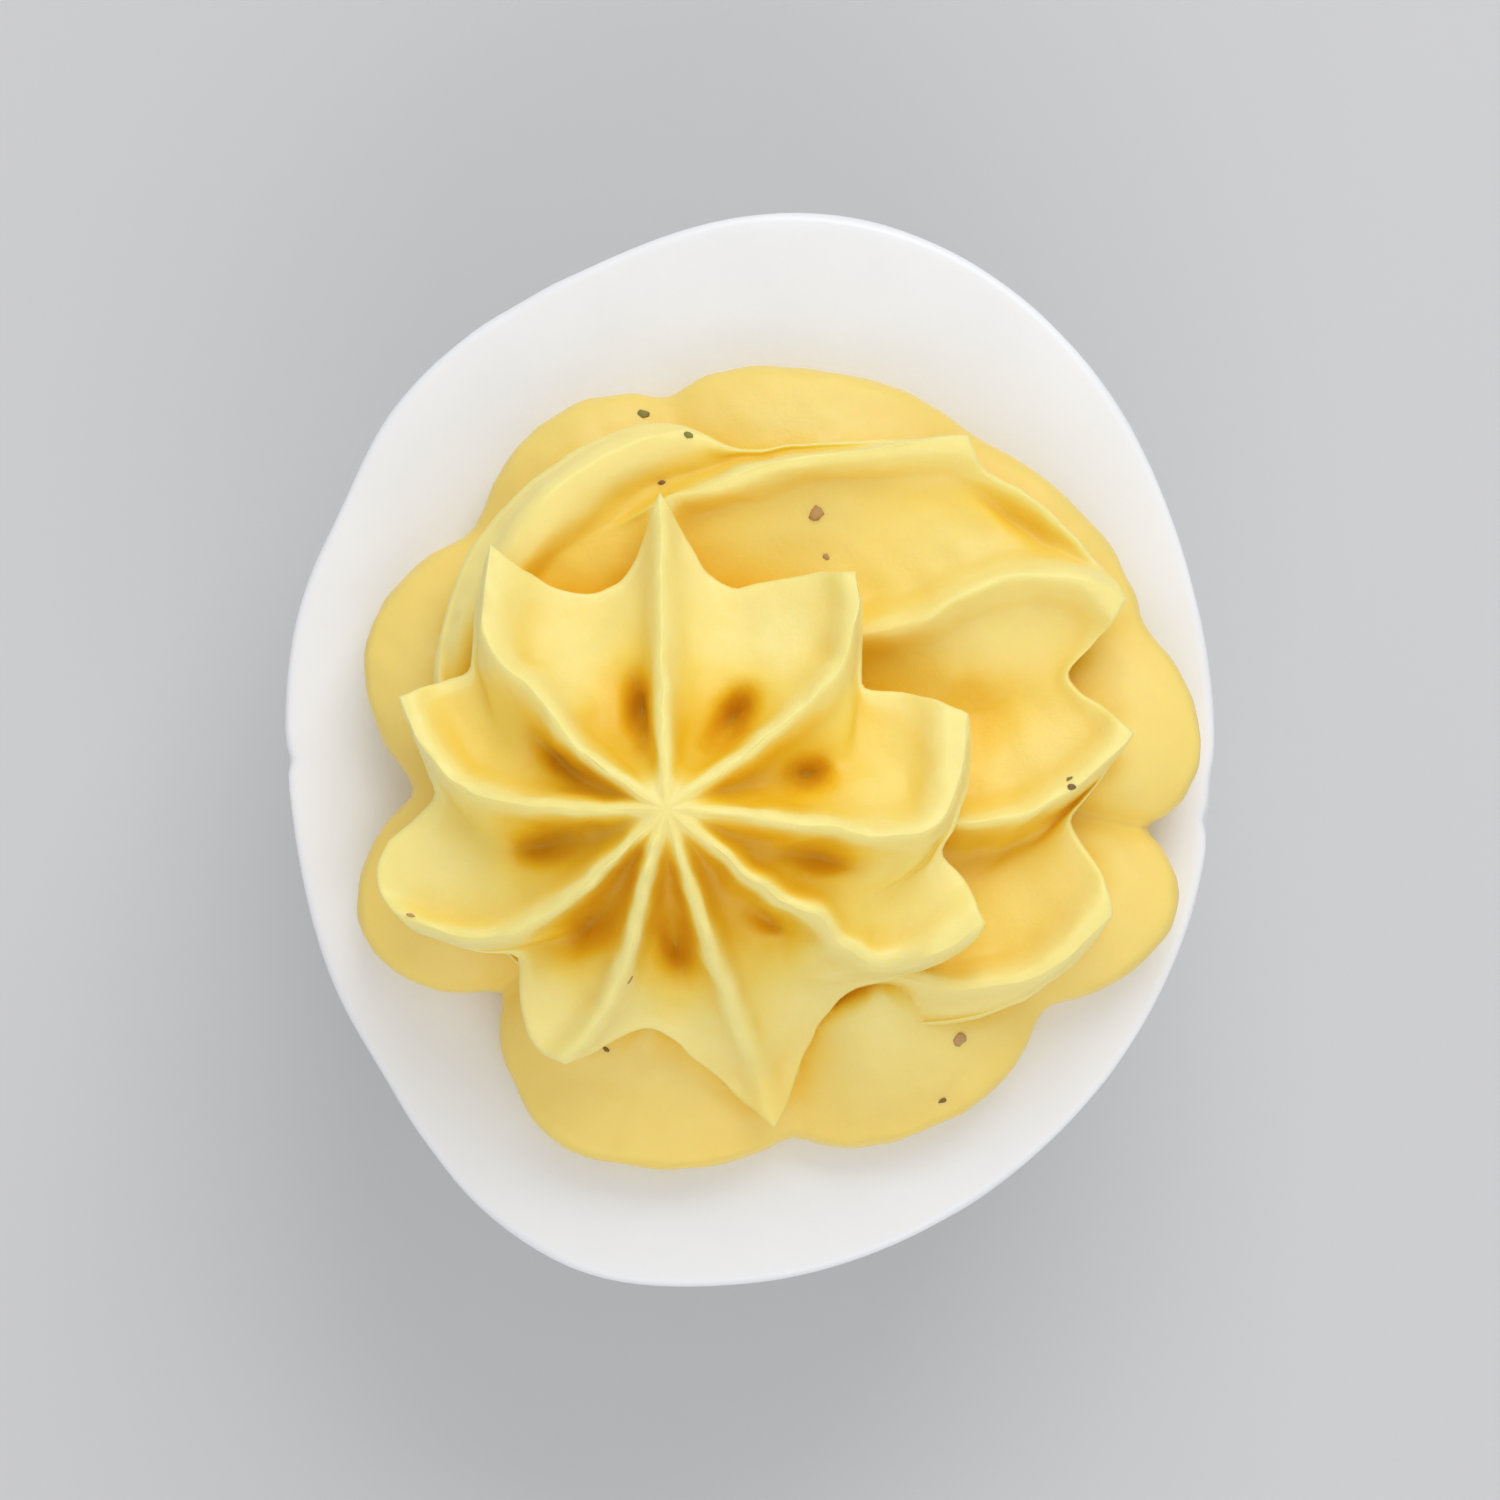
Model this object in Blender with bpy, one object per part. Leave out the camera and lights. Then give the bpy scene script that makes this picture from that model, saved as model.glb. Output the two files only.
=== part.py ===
"""Deviled egg: half of a hard-boiled egg's white, with a piped yolk filling in its hollow.

The white lies on a small flat spot with its cut face up. The filling plugs the hollow that the
yolk left, and stands on the cut face as a rosette from a nine-point star nozzle: three stars on
top of each other, each smaller than the one under it and drawn a little further to the side.
"""

import math
from collections import namedtuple

import bmesh
import bpy

MM = 0.001

# Egg white, in millimetres
EGG_LENGTH = 52.6
EGG_WIDTH = 45.4
EGG_LEAN = -8.0  # degrees that the long axis leans from +Y
EGG_DEPTH = 22.6  # cut face to the lowest point of the round underside
FLAT_TRIM = 0.5  # height taken off the underside, so that the egg stands still
CUT_HEIGHT = EGG_DEPTH - FLAT_TRIM
SHELL_WAVES = [  # waves round the outline, height of each wave, degrees to its first crest
    (3, 0.18, 12.0),
    (4, 0.30, -24.0),
]
SHELL_SEGMENTS = 64
SHELL_RINGS = 26
CUTTER_WIDTH = 80.0  # of the boxes that cut the egg in half and trim its underside
CUTTER_HEIGHT = 40.0

# Hollow that the yolk left, in millimetres
HOLLOW_CENTRE = (0.8, -0.6)
HOLLOW_RADIUS = 15.3
HOLLOW_DEPTH = 13.5
HOLLOW_SEGMENTS = 48
HOLLOW_RINGS = 18
GAP = 0.3  # left between the filling and the white

# Piped filling, in millimetres above the cut face. A fin is a sharp ridge that a slot of the
# nozzle leaves, and a cup is the scoop between a fin and the next one counter-clockwise.
Fin = namedtuple("Fin", "root path rim deepest scoop pit")
# root: degrees of its crest where it leaves the ring that its tier starts from
# path: its crest in even steps from there to its tip, as (distance from the tier's centre, degrees)
# rim: edge of its cup between its tip and the next fin's, as (degrees, distance)
# deepest: share of the way to the next fin at which its cup is deepest
# scoop: depth of its cup, against the tier's depth
# pit: hole in its cup, as (distance, share of the way, depth, length, width), or None
Tier = namedtuple("Tier", "centre root crest depth form lip stem swells steps fins")
# root: radius of the ring that its fins start from, round the centre of the tier above
# crest, depth: height of the crests and depth of the cups, at shares of the way to the rim
# form: fullness of a cup in section, more for a flatter floor, or None for plain round lobes
# lip: steps inwards and down from the rim, round its edge
# stem: radius and height to which its underside draws in, inside the tier below
# swells: direction, degrees to each side, and rise at shares of the way from root to rim
# steps: shares of the way at which the loft has a ring
TOP_TIER = Tier(
    centre=(-4.1, -2.8),
    root=0.5,
    crest=[(0, 17.1), (0.12, 16.7), (0.5, 15.2), (1, 12.8)],
    depth=[(0, 0.0), (0.07, 0.35), (0.16, 1.5), (0.28, 2.5), (0.45, 2.8), (0.65, 2.6), (1, 2.0)],
    form=2.0,
    lip=[(-0.1, 0.3), (0.05, 0.8)],
    stem=(8.0, 3.0),
    swells=[],
    steps=[0.05, 0.1, 0.17, 0.25, 0.34, 0.45, 0.58, 0.72, 0.87, 1.0],
    fins=[
        Fin(-6, [(4.2, -6), (7.9, -6), (11.6, -6), (13.6, 0), (15.3, 17)],
            [(27, 12.4), (34, 10.4), (39, 11.4), (45, 12.8)], 0.6, 1.0, (6.8, 0.5, 3.6, 1.6, 1.0)),
        Fin(34, [(4.0, 34), (7.5, 34), (11.0, 38), (14.5, 51)],
            [(65, 12.0), (76, 11.1), (84, 12.6)], 0.6, 1.0, (5.0, 0.33, 4.2, 1.7, 0.9)),
        Fin(90, [(7.7, 90), (15.0, 91)],
            [(97, 12.0), (106, 10.9), (114, 11.4), (120, 13.2)], 0.45, 1.0, (4.3, 0.28, 4.2, 1.7, 0.9)),
        Fin(151, [(4.2, 149), (7.9, 139.5), (11.5, 137), (15.3, 123.5)],
            [(131, 13.5), (137, 11.6), (142, 11.0), (150, 12.3)], 0.35, 1.0, (5.9, 0.3, 3.6, 2.0, 1.1)),
        Fin(180, [(5.0, 180), (9.5, 175), (13.8, 157.5)],
            [(167, 12.1), (176, 10.8), (182, 11.8), (189, 13.9), (196, 14.5)], 0.45, 1.0,
            (6.2, 0.43, 3.6, 2.1, 1.2)),
        Fin(224, [(4.9, 223), (9.4, 219), (13.8, 203)],
            [(209, 13.0), (216, 10.9), (222, 9.6), (228, 10.4), (235, 12.4)], 0.4, 1.0,
            (6.5, 0.43, 3.6, 2.0, 1.2)),
        Fin(258, [(5.0, 258), (9.5, 257), (13.9, 243)],
            [(248, 13.1), (254, 11.8), (263, 10.7), (273, 11.4), (281, 13.4)], 0.5, 1.2,
            (6.6, 0.56, 4.2, 2.0, 1.0)),
        Fin(287, [(8.4, 288), (16.4, 289)],
            [(300, 13.6), (316, 12.4), (327, 14.2), (335, 15.9)], 0.5, 1.2, (7.0, 0.74, 3.4, 1.9, 0.9)),
        Fin(319, [(4.4, 319.5), (8.3, 324), (12.2, 322), (16.2, 340)],
            [(347, 14.8), (355, 13.6), (363, 14.2), (370, 15.0)], 0.6, 0.95,
            (7.8, 0.62, 3.4, 1.9, 1.0)),
    ],
)
MIDDLE_TIER = Tier(
    centre=(0.5, -0.5),
    root=8.4,
    crest=[(0, 7.2), (0.25, 9.0), (0.5, 9.2), (1, 8.2)],
    depth=[(0, 0.7), (0.3, 2.6), (0.6, 2.6), (0.9, 2.2), (1, 1.5)],
    form=2.0,
    lip=[(-0.1, 0.3), (0.05, 0.8)],
    stem=(10.5, 1.2),
    swells=[],
    steps=[0.0, 0.14, 0.28, 0.44, 0.6, 0.75, 0.88, 1.0],
    fins=[
        Fin(-21, [(7.6, -17.5), (10.4, -16), (12.8, -12), (15.4, -4.5), (18.0, 4.5)],
            [(8, 17.0), (13, 15.5), (16, 15.5), (20, 17.6)], 0.5, 0.9, (11.0, 0.5, 1.2, 2.5, 1.6)),
        Fin(66, [(7.5, 53), (10.0, 42), (12.4, 39), (15.2, 35.5), (17.6, 30.5), (19.4, 24)],
            [(32, 18.9), (44, 18.1), (52, 17.8)], 0.3, 0.9, (16.6, 0.3, 1.0, 2.4, 2.2)),
        Fin(126, [(10.6, 117), (13.1, 110), (13.3, 101), (14.2, 89), (15.8, 72), (17.8, 57)],
            [(66, 16.9), (80, 15.4), (92, 14.7), (98, 15.4)], 0.5, 0.7, None),
        Fin(160, [(13.6, 155), (15.4, 146), (16.3, 131), (16.6, 113), (16.4, 103)],
            [(110, 17.2), (124, 17.4), (140, 16.9), (152, 16.2)], 0.5, 0.5, None),
        Fin(184, [(14.2, 180), (15.0, 174), (15.8, 164)], [(172, 15.0), (186, 15.0)], 0.5, 0.5, None),
        Fin(214, [(15.1, 209), (16.2, 201)], [(210, 15.4), (220, 14.9)], 0.5, 0.5, None),
        Fin(242, [(13.8, 240), (14.6, 236)], [(244, 13.9), (256, 12.8)], 0.5, 0.4, None),
        Fin(264, [(11.7, 266), (12.4, 268)],
            [(280, 12.4), (292, 13.3), (304, 15.0), (313, 17.0), (322, 18.5), (329, 19.0)], 0.4, 0.4, None),
        Fin(286, [(10.0, 288), (11.4, 293), (13.2, 304), (15.5, 313), (17.5, 322), (18.9, 336)],
            [(340, 17.8), (344, 16.5), (348, 15.2), (353, 15.3), (358, 16.6)], 0.6, 1.0,
            (12.5, 0.8, 0.8, 2.5, 1.4)),
    ],
)
BOTTOM_TIER = Tier(
    centre=(1.5, -1.0),
    root=10.9,
    crest=[(0, 3.8), (0.3, 4.9), (0.7, 4.8), (1, 4.0)],
    depth=[(0, 0.3), (0.5, 0.9), (1, 0.8)],
    form=None,
    lip=[(-0.35, 0.4), (-0.5, 1.0), (-0.4, 1.7), (-0.1, 2.3)],
    stem=None,
    swells=[
        (291, 15, [(0, 0), (0.2, 3.0), (0.5, 2.2), (1, 0)]),
        (258, 14, [(0, 0), (0.2, 1.2), (0.5, 0.9), (1, 0)]),
    ],
    steps=[0.0, 0.2, 0.45, 0.7, 0.88, 1.0],
    fins=[
        Fin(4, [(20.2, 4)], [(24, 18.6)], 0.5, 1.0, None),
        Fin(40, [(18.8, 40)], [(56, 18.2)], 0.45, 1.0, None),
        Fin(82, [(19.7, 82)], [(108, 18.6)], 0.65, 1.0, None),
        Fin(120, [(20.0, 120)], [(143, 18.0)], 0.55, 1.0, None),
        Fin(160, [(20.9, 160)], [(182, 16.6)], 0.55, 1.0, None),
        Fin(201, [(21.6, 201)], [(219, 17.0)], 0.42, 1.0, None),
        Fin(243, [(21.2, 243)], [(272, 17.6)], 0.58, 1.0, None),
        Fin(293, [(18.8, 293)], [(318, 17.2)], 0.55, 1.0, None),
        Fin(338, [(20.3, 338)], [(350, 17.4)], 0.5, 1.0, None),
    ],
)
CUP_STEPS = [0.0, 0.04, 0.12, 0.25, 0.4, 0.56, 0.72, 0.86, 0.95]  # from one fin's crest to the next
PEAK_HEIGHT = 17.4  # tip of the drawn-out peak
RING_STEP = 0.15  # least distance between a ring and the one inside it
FOOT_IN = 0.6  # how far the filling's foot stands in from its lowest lip
PLUG_ANGLES = [0.0, 18.0, 36.0, 54.0, 72.0]  # degrees below the cut face, round the plug
PIT_FADE = [(0.65, 1.0), (0.9, 0.1), (1.0, 0.0)]  # of the pits, at shares of the way to the rim
SAGS = [  # direction from the top tier's centre, degrees to each side, share of height lost
    (287, 30, 0.62),
    (310, 20, 0.22),
    (225, 60, 0.16),
    (90, 12, 0.12),
]
SAG_RADIUS = 14.0  # from the top tier's centre to where the sag is full
SAG_BASE = 2.6  # height below which nothing has sunk
LOBE_POWER = 0.7  # roundness of the bottom tier's lobes in plan, less for rounder ones
WELD_DISTANCE = 0.02  # points of the joined stars that are closer than this become one
SMOOTH_ANGLE = 35.0  # steepest edge, in degrees, that is shaded smooth


def mix(low, high, share):
    return low + (high - low) * share


def curve_through(stops, place):
    """Value at a place on a smooth curve through stops, each a place and its value."""
    places, values = zip(*stops)
    if place <= places[0]:
        return values[0]
    if place >= places[-1]:
        return values[-1]
    at = max(index for index in range(len(stops) - 1) if places[index] <= place)

    def slope(index):
        before = max(index - 1, 0)
        after = min(index + 1, len(stops) - 1)
        return (values[after] - values[before]) / (places[after] - places[before])

    width = places[at + 1] - places[at]
    t = (place - places[at]) / width
    bend = (t**3 - 2 * t**2 + t) * slope(at) + (t**3 - t**2) * slope(at + 1)
    return mix(values[at], values[at + 1], 3 * t**2 - 2 * t**3) + width * bend


def turn_between(angle, direction):
    """Degrees from a direction to an angle in radians, between -180 and 180."""
    return (math.degrees(angle) - direction + 180) % 360 - 180


def fade(distance, reach):
    """1 at no distance, falling smoothly to nearly 0 at twice the reach."""
    return math.exp(-((distance / reach) ** 2))


def make_material(name, colour, roughness):
    material = bpy.data.materials.new(name)
    material.use_nodes = True
    shader = material.node_tree.nodes["Principled BSDF"]
    shader.inputs["Base Color"].default_value = (*colour, 1.0)
    shader.inputs["Roughness"].default_value = roughness
    shader.inputs["Metallic"].default_value = 0.0
    return material


def add_mesh(name, mesh_edit, collection, material=None):
    mesh = bpy.data.meshes.new(name)
    mesh_edit.to_mesh(mesh)
    mesh_edit.free()
    obj = bpy.data.objects.new(name, mesh)
    collection.objects.link(obj)
    if material:
        mesh.materials.append(material)
        mesh.shade_smooth()
        mesh.set_sharp_from_angle(angle=math.radians(SMOOTH_ANGLE))
    return obj


def shell_radius(angle):
    """Distance from the egg's axis to the outline of its cut face, angle in radians."""
    lean = angle - math.radians(EGG_LEAN)
    radius = 1 / math.hypot(math.cos(lean) / (EGG_WIDTH / 2), math.sin(lean) / (EGG_LENGTH / 2))
    for waves, height, crest in SHELL_WAVES:
        radius += height * math.cos(waves * (angle - math.radians(crest)))
    return radius


def centre_of_shell():
    """Middle of the outline's box, which is where the origin goes."""
    angles = [math.radians(step) for step in range(360)]
    across = [shell_radius(angle) * math.cos(angle) for angle in angles]
    along = [shell_radius(angle) * math.sin(angle) for angle in angles]
    return (min(across) + max(across)) / 2, (min(along) + max(along)) / 2


def make_egg_body():
    """A whole egg, as wide as the outline all the way down, on the cut face's plane."""
    body = bmesh.new()
    bmesh.ops.create_uvsphere(
        body, u_segments=SHELL_SEGMENTS, v_segments=SHELL_RINGS, radius=1.0
    )
    centre_x, centre_y = centre_of_shell()
    for vert in body.verts:
        angle = math.atan2(vert.co.y, vert.co.x)
        radius = shell_radius(angle) * math.hypot(vert.co.x, vert.co.y)
        vert.co = (
            (radius * math.cos(angle) - centre_x) * MM,
            (radius * math.sin(angle) - centre_y) * MM,
            (CUT_HEIGHT + EGG_DEPTH * vert.co.z) * MM,
        )
    return body


def make_box(bottom):
    """A wide box that stands on a level, in millimetres."""
    box = bmesh.new()
    bmesh.ops.create_cube(box, size=1.0)
    for vert in box.verts:
        vert.co.x *= CUTTER_WIDTH * MM
        vert.co.y *= CUTTER_WIDTH * MM
        vert.co.z = (bottom + CUTTER_HEIGHT * (vert.co.z + 0.5)) * MM
    return box


def make_hollow():
    hollow = bmesh.new()
    bmesh.ops.create_uvsphere(
        hollow, u_segments=HOLLOW_SEGMENTS, v_segments=HOLLOW_RINGS, radius=1.0
    )
    for vert in hollow.verts:
        vert.co = (
            (HOLLOW_CENTRE[0] + HOLLOW_RADIUS * vert.co.x) * MM,
            (HOLLOW_CENTRE[1] + HOLLOW_RADIUS * vert.co.y) * MM,
            (CUT_HEIGHT + HOLLOW_DEPTH * vert.co.z) * MM,
        )
    return hollow


def combine(obj, other, operation):
    """Cuts the other object off, or joins it on."""
    other.hide_render = True
    other.display_type = "WIRE"
    modifier = obj.modifiers.new(other.name, "BOOLEAN")
    modifier.operation = operation
    modifier.solver = "EXACT"
    modifier.object = other


def polar(point, centre):
    """Angle in radians and distance of a point, seen from a centre."""
    across, along = point[0] - centre[0], point[1] - centre[1]
    return math.atan2(along, across), math.hypot(across, along)


def around(centre, angle, distance, height):
    return (centre[0] + distance * math.cos(angle), centre[1] + distance * math.sin(angle), height)


def moved(ring, centre, inwards, down):
    """A copy of a ring, closer to its centre and lower."""
    copy = []
    for point in ring:
        angle, distance = polar(point, centre)
        copy.append(around(centre, angle, distance - inwards, point[2] - down))
    return copy


def clear_of(ring, inner, centre):
    """The ring with its points moved out to where they lie outside the ring before it."""
    edge = sorted(polar(point, centre) for point in inner)
    first, last = edge[0], edge[-1]
    edge = [(last[0] - 2 * math.pi, last[1]), *edge, (first[0] + 2 * math.pi, first[1])]
    cleared = []
    for point in ring:
        angle, distance = polar(point, centre)
        after = next(index for index, place in enumerate(edge) if place[0] > angle)
        start, end = edge[after - 1], edge[after]
        share = (angle - start[0]) / (end[0] - start[0])
        least = mix(start[1], end[1], share) + RING_STEP
        cleared.append(around(centre, angle, max(distance, least), point[2]))
    return cleared


def round_ring(centre, radius, height, like):
    """A plain ring whose points lie in the directions of another ring's points."""
    return [around(centre, polar(point, centre)[0], radius, height) for point in like]


def root_distance(tier, root_centre, angle):
    """From a tier's centre out to its root ring, which lies round the tier above's centre."""
    across = tier.centre[0] - root_centre[0]
    along = tier.centre[1] - root_centre[1]
    outwards = across * math.cos(angle) + along * math.sin(angle)
    return math.sqrt(outwards**2 + tier.root**2 - across**2 - along**2) - outwards


def crest_of(tier, root_centre, fin, step):
    """Angle in radians and distance of a fin's crest, at a step from root (0) to tip (1)."""
    root = (root_distance(tier, root_centre, math.radians(fin.root)), fin.root)
    path = [root, *fin.path]
    places = [index / (len(path) - 1) for index in range(len(path))]
    distances = [distance for distance, _ in path]
    turns = [turn for _, turn in path]
    angle = math.radians(curve_through(list(zip(places, turns)), step))
    return angle, curve_through(list(zip(places, distances)), step)


def cup_wall(share, deepest, form):
    """0 on the crests, at shares 0 and 1, and 1 where the cup is deepest."""
    side = deepest if share < deepest else 1 - deepest
    from_crest = min(1.0, (share if share < deepest else 1 - share) / side)
    if form is None:
        return 1 - math.cos(from_crest * math.pi / 2) ** LOBE_POWER
    return 1 - (1 - from_crest) ** (form * 0.5 / side)


def tier_ring(tier, root_centre, step):
    """The ring at a step from the tier's root (0) to its rim (1)."""
    crest_height = curve_through(tier.crest, step)
    depth = curve_through(tier.depth, step)
    ring = []
    for number, fin in enumerate(tier.fins):
        after = tier.fins[(number + 1) % len(tier.fins)]
        angle, distance = crest_of(tier, root_centre, fin, step)
        next_angle, next_distance = crest_of(tier, root_centre, after, step)
        reach, tip = fin.path[-1]
        next_reach, next_tip = after.path[-1]
        if after is tier.fins[0]:
            next_angle += 2 * math.pi
            next_tip += 360
        rim = [(tip, reach), *fin.rim, (next_tip, next_reach)]
        for share in CUP_STEPS:
            wall = cup_wall(share, fin.deepest, tier.form)
            plain_reach = mix(reach, next_reach, share)
            if tier.form is None:
                rim_share = mix(1.0, fin.rim[0][1] / plain_reach, wall)
            else:
                rim_share = curve_through(rim, mix(tip, next_tip, share)) / plain_reach
            turn = mix(angle, next_angle, share)
            radius = mix(distance, next_distance, share) * mix(1.0, rim_share, step)
            height = crest_height - depth * fin.scoop * wall
            if fin.pit:
                pit_distance, pit_share, deep, length, width = fin.pit
                aside = (share - pit_share) * (next_angle - angle) * radius
                dip = deep * fade(radius - pit_distance, length) * fade(aside, width)
                height -= dip * wall * curve_through(PIT_FADE, step)
            x, y, height = sagged(around(tier.centre, turn, radius, height))
            for direction, spread, rises in tier.swells:
                height += curve_through(rises, step) * fade(turn_between(turn, direction), spread)
            ring.append((x, y, height))
    return ring


def sagged(point):
    """Lowers a point of the rosette by what the paste has sunk there."""
    x, y, height = point
    if height <= SAG_BASE:
        return point
    angle, distance = polar(point, TOP_TIER.centre)
    kept = 1.0
    for direction, spread, loss in SAGS:
        outwards = min(1.0, distance / SAG_RADIUS)
        kept -= loss * outwards**2 * fade(turn_between(angle, direction), spread)
    return (x, y, SAG_BASE + (height - SAG_BASE) * kept)


def loft(rings, top, bottom):
    """A closed body through rings from its top point down to its bottom point."""
    body = bmesh.new()

    def add_vert(point):
        x, y, height = point
        return body.verts.new((x * MM, y * MM, (CUT_HEIGHT + height) * MM))

    rings = [[add_vert(point) for point in ring] for ring in rings]
    top = add_vert(top)
    bottom = add_vert(bottom)
    count = len(rings[0])
    for number in range(count):
        after = (number + 1) % count
        body.faces.new((top, rings[0][number], rings[0][after]))
        body.faces.new((bottom, rings[-1][after], rings[-1][number]))
        for upper, lower in zip(rings, rings[1:]):
            body.faces.new((upper[number], lower[number], lower[after], upper[after]))
    return body


def tier_rings(tier, root_centre):
    """The rings of a tier's top, from root to rim, and those round its lip."""
    rings = [tier_ring(tier, root_centre, tier.steps[0])]
    for step in tier.steps[1:]:
        rings.append(clear_of(tier_ring(tier, root_centre, step), rings[-1], tier.centre))
    return rings + [moved(rings[-1], tier.centre, inwards, down) for inwards, down in tier.lip]


def make_upper_star(tier, root_centre, top_height):
    """A star with its stem, which ends inside the tier below."""
    rings = tier_rings(tier, root_centre)
    radius, height = tier.stem
    rings.append(round_ring(tier.centre, radius, height, like=rings[-1]))
    return loft(rings, (*root_centre, top_height), (*tier.centre, height))


def make_bottom_star():
    """The widest star, with the plug that fills the hollow under it."""
    root_centre = MIDDLE_TIER.centre
    rings = tier_rings(BOTTOM_TIER, root_centre)
    foot = moved(rings[-1], BOTTOM_TIER.centre, FOOT_IN, 0.0)
    rings.append([(x, y, GAP) for x, y, _ in foot])
    for below in PLUG_ANGLES:
        radius = (HOLLOW_RADIUS - GAP) * math.cos(math.radians(below))
        height = (GAP - HOLLOW_DEPTH) * math.sin(math.radians(below))
        rings.append(round_ring(HOLLOW_CENTRE, radius, height, like=foot))
    top_height = BOTTOM_TIER.crest[0][1]
    return loft(rings, (*root_centre, top_height), (*HOLLOW_CENTRE, GAP - HOLLOW_DEPTH))


for old in list(bpy.data.objects):
    bpy.data.objects.remove(old, do_unlink=True)

parts = bpy.data.collections.new("Deviled_egg")
cutters = bpy.data.collections.new("Cutters")  # bodies that are cut off or joined on
for collection in (parts, cutters):
    bpy.context.scene.collection.children.link(collection)

white_material = make_material("Boiled egg white", (0.87, 0.86, 0.84), 0.35)
yolk_material = make_material("Whipped yolk filling", (0.85, 0.62, 0.13), 0.5)

egg_white = add_mesh("egg_white", make_egg_body(), parts, white_material)
combine(egg_white, add_mesh("Upper_half", make_box(CUT_HEIGHT), cutters), "DIFFERENCE")
combine(egg_white, add_mesh("Flat_spot", make_box(-CUTTER_HEIGHT), cutters), "DIFFERENCE")
combine(egg_white, add_mesh("Yolk_hollow", make_hollow(), cutters), "DIFFERENCE")

filling = add_mesh("yolk_filling", make_bottom_star(), parts, yolk_material)
middle_star = make_upper_star(MIDDLE_TIER, TOP_TIER.centre, MIDDLE_TIER.crest[0][1])
top_star = make_upper_star(TOP_TIER, TOP_TIER.centre, PEAK_HEIGHT)
combine(filling, add_mesh("Middle_star", middle_star, cutters), "UNION")
combine(filling, add_mesh("Top_star", top_star, cutters), "UNION")
weld = filling.modifiers.new("Weld", "WELD")
weld.merge_threshold = WELD_DISTANCE * MM
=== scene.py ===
import bisect
import math
import random

import bmesh
import bpy
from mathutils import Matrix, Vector, noise
from mathutils.bvhtree import BVHTree
from mathutils.kdtree import KDTree


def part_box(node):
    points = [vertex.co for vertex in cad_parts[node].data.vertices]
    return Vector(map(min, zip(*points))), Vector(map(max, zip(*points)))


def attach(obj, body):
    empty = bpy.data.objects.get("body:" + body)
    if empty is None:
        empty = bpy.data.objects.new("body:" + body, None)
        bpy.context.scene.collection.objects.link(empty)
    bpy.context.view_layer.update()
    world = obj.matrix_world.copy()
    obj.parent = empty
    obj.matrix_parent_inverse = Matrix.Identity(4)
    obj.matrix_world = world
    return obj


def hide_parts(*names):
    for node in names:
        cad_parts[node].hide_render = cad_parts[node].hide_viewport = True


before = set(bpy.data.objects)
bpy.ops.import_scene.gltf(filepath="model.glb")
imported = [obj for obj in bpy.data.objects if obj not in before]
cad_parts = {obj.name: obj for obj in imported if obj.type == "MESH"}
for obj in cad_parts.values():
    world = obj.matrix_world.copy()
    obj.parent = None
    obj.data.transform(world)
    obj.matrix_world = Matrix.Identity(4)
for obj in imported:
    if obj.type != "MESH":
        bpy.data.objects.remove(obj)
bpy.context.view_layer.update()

mm = 0.001
whiteLow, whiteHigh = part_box("egg_white")
fillingLow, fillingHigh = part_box("yolk_filling")
cutHeight = whiteHigh.z  # the egg was cut here, and the rosette stands on it
cutLevel = cutHeight / mm
print("frame loaded: cut face at", round(cutLevel, 2), "mm, filling from",
      round(fillingLow.z / mm, 2), "to", round(fillingHigh.z / mm, 2), "mm")


# helpers

def mix(low, high, share):
    return low + (high - low) * share


def bell(away, spread):  # 1 in the middle, and fading to 0 past its spread
    return math.exp(-((away / spread) ** 2))


def turnFrom(direction, angle):  # degrees from a direction to an angle in radians, the short way round
    return (math.degrees(angle) - direction + 180) % 360 - 180


def flow(stops, place):  # smooth curve through (place, value) stops
    places = [stop[0] for stop in stops]
    values = [stop[1] for stop in stops]
    if place <= places[0]:
        return values[0]
    if place >= places[-1]:
        return values[-1]
    at = max(i for i in range(len(stops) - 1) if places[i] <= place)

    def slope(i):
        before = max(i - 1, 0)
        after = min(i + 1, len(stops) - 1)
        return (values[after] - values[before]) / (places[after] - places[before])

    width = places[at + 1] - places[at]
    t = (place - places[at]) / width
    bend = (2 * t**3 - 3 * t**2 + 1) * values[at] + (3 * t**2 - 2 * t**3) * values[at + 1]
    return bend + width * ((t**3 - 2 * t**2 + t) * slope(at) + (t**3 - t**2) * slope(at + 1))


def wobble(place, size, seed):  # smooth unevenness between about -1 and 1, another for each seed
    return noise.noise(Vector((place[0] / size, place[1] / size, place[2] / size + seed * 17.3)))


def wobbles(place, waves):  # several of them, each of (height, size, seed)
    return sum(height * wobble(place, size, seed) for height, size, seed in waves)


def startFresh():
    if bpy.context.object and bpy.context.object.mode != "OBJECT":
        bpy.ops.object.mode_set(mode="OBJECT")
    bpy.ops.object.select_all(action="DESELECT")


def useOnly(obj):
    startFresh()
    obj.select_set(True)
    bpy.context.view_layer.objects.active = obj


def applyAll(obj):
    useOnly(obj)
    for modifier in list(obj.modifiers):
        bpy.ops.object.modifier_apply(modifier=modifier.name)


def placeInMesh(obj):
    useOnly(obj)
    bpy.ops.object.transform_apply(location=True, rotation=True, scale=True)


def treeOf(obj):  # its faces, ready for rays to be cast at
    points = [point.co for point in obj.data.vertices]
    return BVHTree.FromPolygons(points, [face.vertices for face in obj.data.polygons])


def finishPiece(obj, material, sharpAngle=None):
    useOnly(obj)
    if sharpAngle:
        bpy.ops.object.shade_smooth_by_angle(angle=math.radians(sharpAngle))
    else:
        bpy.ops.object.shade_smooth()
    obj.data.materials.clear()
    obj.data.materials.append(material)
    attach(obj, "root")
    obj.data.calc_loop_triangles()
    print(obj.name, len(obj.data.loop_triangles), "triangles")


# shader expressions

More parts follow.
